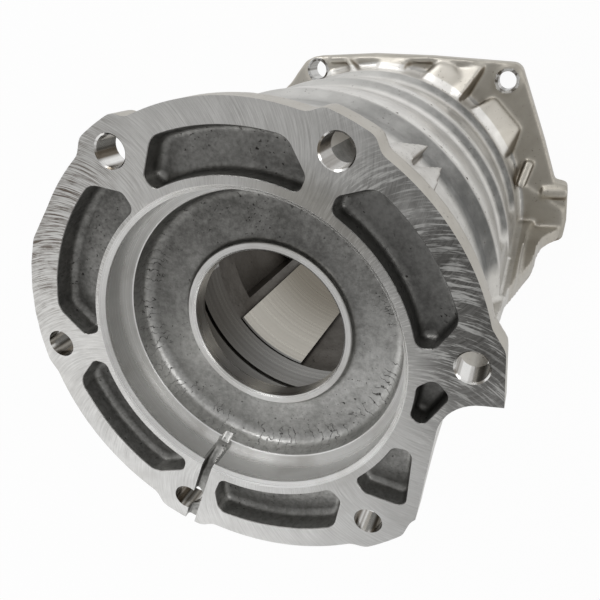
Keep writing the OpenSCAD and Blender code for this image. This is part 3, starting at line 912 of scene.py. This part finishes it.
def close_group(net, **values):
    """Give a shader group one float output for each named value."""
    for name in values:
        net.tree.interface.new_socket(name, in_out="OUTPUT", socket_type="NodeSocketFloat")
    end = net.tree.nodes.new("NodeGroupOutput")
    for name, value in values.items():
        net.put(end.inputs[name], value)
    return net.tree


def make_cast_grain():
    """Cast skin: wide mottle, small dark specks, hair cracks and a fine uneven height.
    Cracks are the edges of cells along the angle, swayed by noise, in spots near the dish's fillet."""
    net, vector = new_group("cast_grain")
    wide = net.noise(vector, 38.0, 5.0, 0.62)
    patch = net.noise(vector, 170.0, 3.0, 0.6)
    mottle = net.plus(net.times(wide, 0.65), net.times(patch, 0.35))
    dots = net.noise(vector, 900.0, 2.0, 0.5)
    where = net.step(net.noise(vector, 90.0, 2.0), 0.42, 0.6)
    specks = net.times(net.step(dots, 0.64, 0.72), where)
    radius, angle = net.around(vector)
    sway = net.times(net.noise(vector, 300.0, 3.0), 0.16)
    turn = net.times(net.plus(angle, sway), 14.0)
    cells = net.node("ShaderNodeTexVoronoi", {"W": turn, "Scale": 1.0}, voronoi_dimensions="1D",
                       feature="DISTANCE_TO_EDGE")
    edges = cells.outputs["Distance"]
    lines = net.step(edges, 0.018, 0.05, 1.0, 0.0)
    spots = net.step(net.noise(vector, 75.0, 2.0), 0.45, 0.52)
    near_fillet = net.near(radius, DISH_FILLET_R, 0.002, 0.0045)
    cracks = net.times(net.times(lines, spots), near_fillet)
    fine = net.noise(vector, 620.0, 4.0, 0.65)
    height = net.minus(net.plus(fine, net.times(patch, 1.2)), specks)
    return close_group(net, Mottle=mottle, Fine=fine, Specks=specks, Cracks=cracks, Height=height)


def make_mill_marks():
    """Arcs left by a face cutter of radius c that travelled round the face on a circle of radius p.
    A point at radius r lies behind the cutter's middle by acos((r² + p² - c²) / (2 r p)), so lines of equal
    angle plus or minus that amount are the arcs. Noise over that angle and the radius breaks them up."""
    net, vector = new_group("mill_marks")
    radius, angle = net.around(vector)
    top = net.plus(net.times(radius, radius), PATH_R ** 2 - CUTTER_R ** 2)
    lag = net.math("ARCCOSINE", net.math("DIVIDE", top, net.times(radius, 2 * PATH_R)))
    ahead = net.plus(angle, lag)
    behind = net.minus(angle, lag)
    along = net.times(radius, 90.0)
    arcs = net.noise(net.vector(net.times(ahead, 95.0), along), 1.0, 4.0, 0.7)
    cross = net.noise(net.vector(net.times(behind, 70.0), along, 7.0), 1.0, 4.0, 0.7)
    fine = net.noise(net.vector(net.times(ahead, 260.0), along, 3.0), 1.0, 2.0, 0.6)
    return close_group(net, Arcs=arcs, Cross=cross, Fine=fine)


def make_lathe_marks():
    """Fine rings left by turning: streaks along radius plus height, which never change round the axis."""
    net, vector = new_group("lathe_marks")
    along = net.plus(net.around(vector)[0], net.split(vector)[2])
    rings = net.streaks(along, 2600.0, 4.0, 0.7)
    wide = net.streaks(along, 420.0, 2.0, 0.5)
    return close_group(net, Rings=rings, Wide=wide)


CAST_GRAIN = make_cast_grain()
MILL_MARKS = make_mill_marks()
LATHE_MARKS = make_lathe_marks()


class Surface(Net):
    """Nodes of one new material, with its shader and its object coordinates."""

    def __init__(self, name, metallic, roughness):
        self.material = bpy.data.materials.new(name)
        self.material.use_nodes = True
        super().__init__(self.material.node_tree)
        self.inputs = self.tree.nodes["Principled BSDF"].inputs
        self.put(self.inputs["Metallic"], metallic)
        self.put(self.inputs["Roughness"], roughness)
        self.place = self.node("ShaderNodeTexCoord").outputs["Object"]

    def dress(self, colour, roughness, normal=None):
        """The material, its shader fed with colour, roughness and, where there is relief, a normal."""
        self.put(self.inputs["Base Color"], colour)
        self.put(self.inputs["Roughness"], roughness)
        if normal is not None:
            self.put(self.inputs["Normal"], normal)
        return self.material


def outside_material():
    """Satin cast skin with painted light and shade: a lighter top, painted shade on the front slopes of the
    ribs, a beige painted reflection past the rim, brown painted shade where it is shut in and on clockwise
    sides, brown in the pits, with dark specks.
    """
    net = Surface("cast_aluminium", 1.0, 0.34)
    net.put(net.inputs["Specular Tint"], (0.8, 0.8, 0.8))
    grain = net.use(CAST_GRAIN, net.place)
    radius, turn = net.around(net.place)
    _, y, z = net.split(net.place)
    patches = net.step(grain["Mottle"], 0.38, 0.62)
    # painted light: the top of the body is lighter than its sides, as if lit from above
    side = net.blend(patches, (0.6, 0.585, 0.55), (0.74, 0.725, 0.69))
    top = net.blend(patches, (0.76, 0.745, 0.715), (0.9, 0.885, 0.855))
    colour = net.blend(net.step(y, 0.02, 0.065), side, top)
    # painted shade on the front slopes of the ribs, darkest at the right
    slope = net.times(net.kept("slope"), net.step(grain["Mottle"], 0.3, 0.7, 0.9, 0.65))
    slope_shade = net.blend(net.near(turn, SLOPE_TURN, 0.3, 1.2, 0.0, 1.0), (0.07, 0.072, 0.07), (0.54, 0.537, 0.52))
    colour = net.blend(slope, colour, slope_shade)
    # beige painted reflection on the side of the rim and everything further out, then brown painted shade in
    # corners and on the clockwise sides, and brown in the pits
    colour = net.blend(net.step(radius, 0.0774, 0.0782, 0.0, 0.65), colour, (0.44, 0.405, 0.34))
    shut = net.step(net.kept("hollow"), 0.14, 0.5)
    brown_shade_and_pits = net.times(shut, net.step(grain["Mottle"], 0.3, 0.6, 0.5, 1.0))
    brown_shade_and_pits = net.larger(brown_shade_and_pits, net.times(net.kept("shade_and_pits"), 0.85))
    colour = net.blend(brown_shade_and_pits, colour, (0.2, 0.165, 0.12))
    colour = net.blend(net.times(grain["Specks"], 0.6), colour, (0.09, 0.075, 0.06))
    rough = net.step(grain["Mottle"], 0.3, 0.7, 0.36, 0.28)
    rough = net.plus(rough, net.step(z, 0.02, 0.045, 0.18, 0.0))
    return net.dress(colour, rough, net.bump(grain["Height"], 0.00004))


def inside_material():
    """Cast skin of the pockets, the dish and the hollows: dark, with painted light that makes it lighter low
    in the dish, painted shade where it is shut in and dark brown painted shade deep in the bore, darker in the
    right pocket, with specks and hair cracks."""
    net = Surface("cast_inside", 1.0, 0.45)
    grain = net.use(CAST_GRAIN, net.place)
    radius, turn = net.around(net.place)
    _, y, z = net.split(net.place)
    tone = net.plus(net.times(grain["Mottle"], 0.6), net.times(grain["Fine"], 0.4))
    mottled = net.step(tone, 0.32, 0.68)
    # painted light: a lit copy of the skin, used low in the dish and a quarter as much low in the pockets
    dark = net.blend(mottled, (0.12, 0.118, 0.111), (0.32, 0.316, 0.302))
    lit_skin = net.blend(mottled, (0.34, 0.338, 0.325), (0.68, 0.677, 0.66))
    low = net.times(net.step(y, -0.04, 0.035, 1.0, 0.0), net.step(radius, 0.052, 0.054, 1.0, 0.25))
    colour = net.blend(low, dark, lit_skin)
    # painted shade where the skin is shut in, then dark brown painted shade deep in the bore
    shut = net.step(net.kept("hollow"), 0.2, 0.7, 0.0, 0.8)
    colour = net.blend(shut, colour, (0.07, 0.067, 0.06))
    colour = net.blend(net.step(z, 0.09, 0.155, 0.85, 0.0), colour, (0.09, 0.075, 0.058))
    # darker in the right pocket
    dark_patch = net.times(net.near(turn, POCKET_TURN, 0.45, 1.0, 0.35), net.step(radius, 0.0545, 0.0555))
    colour = net.blend(dark_patch, colour, (0.1, 0.1, 0.097))
    marks = net.larger(grain["Specks"], grain["Cracks"])
    colour = net.blend(net.times(marks, 0.9), colour, (0.025, 0.022, 0.02))
    height = net.minus(grain["Height"], net.times(grain["Cracks"], 1.5))
    rough = net.step(grain["Mottle"], 0.3, 0.7, 0.5, 0.36)
    return net.dress(colour, rough, net.bump(height, 0.0001))


def milled_material():
    """Machined faces: arcs of the cutter, painted shade on the lower part, brown stain at the upper left, a
    dark painted reflection with bright arcs at the right."""
    net = Surface("milled_face", 1.0, 0.4)
    mill = net.use(MILL_MARKS, net.place)
    broken = net.noise(net.place, 110.0, 4.0, 0.65)
    patch = net.noise(net.place, 30.0, 4.0, 0.65)
    arcs = net.step(mill["Arcs"], 0.3, 0.68)
    cross = net.step(mill["Cross"], 0.35, 0.65)
    fine = net.step(mill["Fine"], 0.3, 0.7)
    tone = net.plus(net.times(arcs, 0.55), net.times(fine, 0.45))
    radius, turn = net.around(net.place)
    # painted shade: the lower part of the face is darker than the upper
    upper = net.blend(tone, (0.49, 0.483, 0.465), (0.72, 0.713, 0.695))
    shaded_lower = net.blend(tone, (0.42, 0.417, 0.407), (0.6, 0.597, 0.587))
    colour = net.blend(net.step(net.split(net.place)[1], -0.06, 0.02), shaded_lower, upper)
    # thin brown film inside the upper right bolt, and a few grey patches
    dark_patch = net.times(net.near(turn, BOLT_TURN, 0.15, 0.55, 0.55), net.step(radius, 0.058, 0.068, 1.0, 0.0))
    colour = net.blend(dark_patch, colour, (0.25, 0.232, 0.195))
    colour = net.blend(net.step(patch, 0.5, 0.75, 0.0, 0.35), colour, (0.34, 0.33, 0.31))
    # towards the ear: a dark painted reflection scored by the bright arcs of the cutter's other side
    ear = net.times(net.near(turn, EAR_TURN, 0.25, 0.95), net.step(patch, 0.28, 0.5, 0.45, 1.0))
    ear = net.times(ear, net.step(radius, 0.054, 0.068, 0.35, 1.0))
    bright = net.larger(net.step(mill["Cross"], 0.48, 0.59), net.times(arcs, 0.22))
    scored = net.times(bright, net.step(broken, 0.3, 0.6, 0.3, 1.0))
    dark = net.blend(scored, (0.06, 0.057, 0.052), (0.52, 0.517, 0.5))
    colour = net.blend(net.times(ear, 0.9), colour, dark)
    # upper left: brown stain drawn out along the arcs, strongest at the rim
    left = net.times(net.near(turn, STAIN_TURN, 0.2, 0.68), net.step(radius, 0.058, 0.077, 0.3, 1.0))
    mixed = net.plus(net.times(mill["Arcs"], 0.55), net.times(mill["Fine"], 0.45))
    drawn = net.times(net.step(mixed, 0.44, 0.53, 1.0, 0.0), net.step(broken, 0.3, 0.52, 0.2, 1.0))
    colour = net.blend(net.times(net.times(left, drawn), 0.88), colour, (0.09, 0.062, 0.042))
    height = net.plus(tone, net.times(cross, 0.15))
    return net.dress(colour, net.step(broken, 0.3, 0.7, 0.34, 0.46), net.bump(height, 0.00003))


def turned_material():
    """Turned walls: fine rings, a painted highlight on their low side, painted shade brown where shut in,
    painted shade deep in the bore, darkest on its left side, painted light on the raised lands, beige, darker
    towards the rear.
    """
    net = Surface("turned_wall", 1.0, 0.3)
    lathe = net.use(LATHE_MARKS, net.place)
    radius, turn = net.around(net.place)
    _, y, z = net.split(net.place)
    rings = net.step(lathe["Rings"], 0.3, 0.7)
    colour = net.blend(rings, (0.62, 0.615, 0.6), (0.76, 0.755, 0.74))
    # painted highlight: lighter on the low side of the walls, below y = -0.02 m
    colour = net.blend(net.step(y, -0.05, -0.02, 0.8, 0.0), colour, (0.92, 0.917, 0.905))
    broken = net.step(net.noise(net.place, 60.0, 3.0, 0.6), 0.45, 0.7, 0.0, 0.3)
    colour = net.blend(broken, colour, (0.42, 0.4, 0.37))
    # painted shade, brown, where the wall is shut in
    shut = net.step(net.kept("hollow"), 0.4, 0.9, 0.0, 0.5)
    colour = net.blend(shut, colour, (0.2, 0.175, 0.145))
    # painted shade deep in the bore, darkest on its left side
    bore_shade = net.blend(net.step(turn, -2.8, -1.7), (0.15, 0.14, 0.125), (0.46, 0.455, 0.44))
    colour = net.blend(net.step(z, 0.148, 0.156, 1.0, 0.0), colour, bore_shade)
    # painted light on the raised lands, beige, darker towards the rear
    lit_land = net.blend(net.step(z, 0.03, 0.1), (0.3, 0.27, 0.22), (0.78, 0.745, 0.67))
    on_land = net.step(radius, 0.0502, 0.0506, 1.0, 0.0)
    on_land = net.times(on_land, net.step(z, 0.1005, 0.1015, 1.0, 0.0))
    colour = net.blend(on_land, colour, lit_land)
    height = net.times(rings, net.step(z, 0.148, 0.156))
    return net.dress(colour, net.step(lathe["Wide"], 0.3, 0.7, 0.26, 0.36), net.bump(height, 0.00001))


def drilled_material():
    """Drilled walls and their chamfers: bright and brown stripes that run along the holes."""
    net = Surface("drilled_wall", 1.0, 0.2)
    x, y, _ = net.split(net.place)
    stripes = net.step(net.noise(net.vector(x, y), 260.0, 2.0, 0.5), 0.38, 0.6)
    colour = net.blend(stripes, (0.14, 0.12, 0.095), (0.85, 0.845, 0.83))
    return net.dress(colour, net.step(net.noise(net.place, 500.0), 0.3, 0.7, 0.14, 0.26))


mesh.materials.clear()
for make in (outside_material, milled_material, turned_material, inside_material, drilled_material):
    mesh.materials.append(make())
mesh.polygons.foreach_set("material_index", zone.astype(np.int32))
mesh.update()

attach(casting, "root")
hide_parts("housing")


# Floor, light and camera

# How white the floor looks to the camera and in reflections
CAMERA_WHITE = 0.95
MIRROR_WHITE = 0.55
FLOOR_SIZE = 6.0
# The camera's directions, place, lens and shift, fitted to the circles of the part in the photograph
CAMERA_RIGHT = Vector((0.9538, -0.06203, -0.29398))
CAMERA_UP = Vector((-0.06203, 0.91673, -0.39467))
CAMERA_BACK = Vector((0.29398, 0.39467, 0.87052))
CAMERA_PLACE = Vector((0.09208, 0.09151, 0.34165))
CAMERA_LENS, CAMERA_SENSOR = 37.997, 36.0
CAMERA_SHIFT = (-0.08555, 0.01075)


def pale_material(name):
    """Pale matte floor that keeps the object's shadow. The camera, and in part metal, see it white."""
    net = Surface(name, 0.0, 0.9)
    net.put(net.inputs["Base Color"], (0.85, 0.85, 0.85))
    matte = net.tree.nodes["Principled BSDF"].outputs[0]
    path = net.node("ShaderNodeLightPath")
    mirrored = net.larger(path.outputs["Is Glossy Ray"], path.outputs["Is Transmission Ray"])
    seen = net.times(path.outputs["Is Camera Ray"], CAMERA_WHITE)
    share = net.larger(seen, net.times(mirrored, MIRROR_WHITE))
    white = net.node("ShaderNodeEmission", {"Color": (1, 1, 1), "Strength": 1.0}).outputs[0]
    mixed = net.node("ShaderNodeMixShader", {0: share, 1: matte, 2: white})
    net.put(net.tree.nodes["Material Output"].inputs["Surface"], mixed.outputs[0])
    return net.material


bpy.ops.mesh.primitive_plane_add(size=FLOOR_SIZE, location=(0, 0, 0))
floor = bpy.context.object
floor.name = "floor"
floor.data.materials.append(pale_material("pale_floor"))

world = bpy.data.worlds.new("studio")
bpy.context.scene.world = world
world.use_nodes = True
sky = Net(world.node_tree)
height = sky.split(sky.node("ShaderNodeTexCoord").outputs["Generated"])[2]
background = world.node_tree.nodes["Background"]
background.inputs["Color"].default_value = (1, 1, 1, 1)
sky.put(background.inputs["Strength"], sky.step(height, 0.1, 1.0, 0.9, 0.42))


def lamp(name, place, target, size, power):
    """Square area lamp that faces a target point."""
    data = bpy.data.lights.new(name, "AREA")
    data.shape = "SQUARE"
    data.size = size
    data.energy = power
    obj = bpy.data.objects.new(name, data)
    bpy.context.scene.collection.objects.link(obj)
    obj.location = place
    obj.rotation_euler = (Vector(target) - Vector(place)).to_track_quat("-Z", "Y").to_euler()


lamp("key", (-0.25, 1.0, 0.4), (0, 0, 0.1), 0.35, 2.6)
lamp("window", (-0.9, -1.0, 0.75), (0, 0, 0.15), 1.2, 4.5)
lamp("side", (1.0, 0.3, 0.6), (0, 0, 0.1), 0.4, 1.5)

camera_data = bpy.data.cameras.new("camera")
camera = bpy.data.objects.new("camera", camera_data)
bpy.context.scene.collection.objects.link(camera)
turn = Matrix((CAMERA_RIGHT, CAMERA_UP, CAMERA_BACK)).transposed()
camera.matrix_world = Matrix.Translation(CAMERA_PLACE) @ turn.to_4x4()
camera_data.sensor_width = CAMERA_SENSOR
camera_data.lens = CAMERA_LENS
camera_data.shift_x, camera_data.shift_y = CAMERA_SHIFT
camera_data.clip_start = 0.01
camera_data.clip_end = 20
bpy.context.scene.camera = camera
bpy.context.scene.view_settings.view_transform = "Standard"
